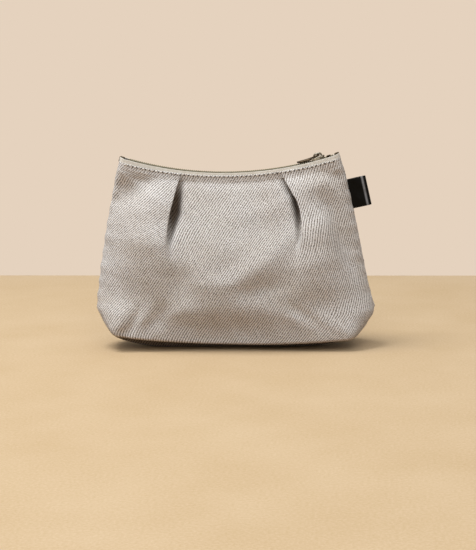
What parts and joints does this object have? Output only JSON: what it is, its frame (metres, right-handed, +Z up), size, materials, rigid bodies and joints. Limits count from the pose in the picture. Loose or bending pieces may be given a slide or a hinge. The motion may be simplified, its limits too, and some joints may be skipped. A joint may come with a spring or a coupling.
{
  "type": "zip pouch",
  "caption": "Pleated twill zip pouch with a boxed base, cotton lining, curved coil zip with slider and pull, and a folded leather side loop.",
  "frame": {"origin": "on the table, under the middle of the base", "axes": "+X to the right along the zip, towards the leather loop; +Y to the back; +Z up"},
  "size_m": [0.1902, 0.0573, 0.1329],
  "materials": {
    "twill": "heavy cream and brown twill, matte",
    "lining": "plain cotton, matte",
    "zip_tape": "woven khaki tape",
    "zip_coil": "satin nylon",
    "zip_metal": "dark antique brass, satin",
    "leather": "smooth black leather, satin"
  },
  "bodies": {
    "pouch": {"front_panel": "twill", "back_panel": "twill", "front_lining": "lining", "back_lining": "lining", "zip_bottom_stop": "zip_metal"},
    "front_lip": {"zip_tape_front": "zip_tape", "zip_coil_front": "zip_coil", "zip_top_stop_front": "zip_metal"},
    "back_lip": {"zip_tape_back": "zip_tape", "zip_coil_back": "zip_coil", "zip_top_stop_back": "zip_metal"},
    "slider": {"zip_slider": "zip_metal"},
    "pull": {"zip_pull": "zip_metal"},
    "loop": {"leather_loop": "leather"}
  },
  "joints": [
    {"name": "slider_travel", "type": "hinge", "parent": "pouch", "child": "slider", "pos_m": [0, 0, 0.36231], "axis": [0, 1, 0], "range_deg": [0, 28.7]},
    {"name": "pull_swing", "type": "hinge", "parent": "slider", "child": "pull", "pos_m": [0.05988, 0, 0.13034], "axis": [0, 1, 0], "range_deg": [0, 165]},
    {"name": "front_lip_open", "type": "hinge", "parent": "pouch", "child": "front_lip", "pos_m": [0, 0, 0.1308], "axis": [-1, 0, 0], "range_deg": [0, 60], "deforming": ["front_panel", "front_lining"]},
    {"name": "back_lip_open", "type": "hinge", "parent": "pouch", "child": "back_lip", "pos_m": [0, 0, 0.1308], "axis": [1, 0, 0], "range_deg": [0, 60], "deforming": ["back_panel", "back_lining"]},
    {"name": "loop_flex", "type": "hinge", "parent": "pouch", "child": "loop", "pos_m": [0.08326, 0, 0.10436], "axis": [-0.2031, 0, 0.9792], "range_deg": [-45, 45], "stiffness_Nm_per_rad": 0.02}
  ],
  "couplings": [
    {"joint": "front_lip_open", "follows": "slider_travel", "ratio": 2.09},
    {"joint": "back_lip_open", "follows": "slider_travel", "ratio": 2.09}
  ]
}
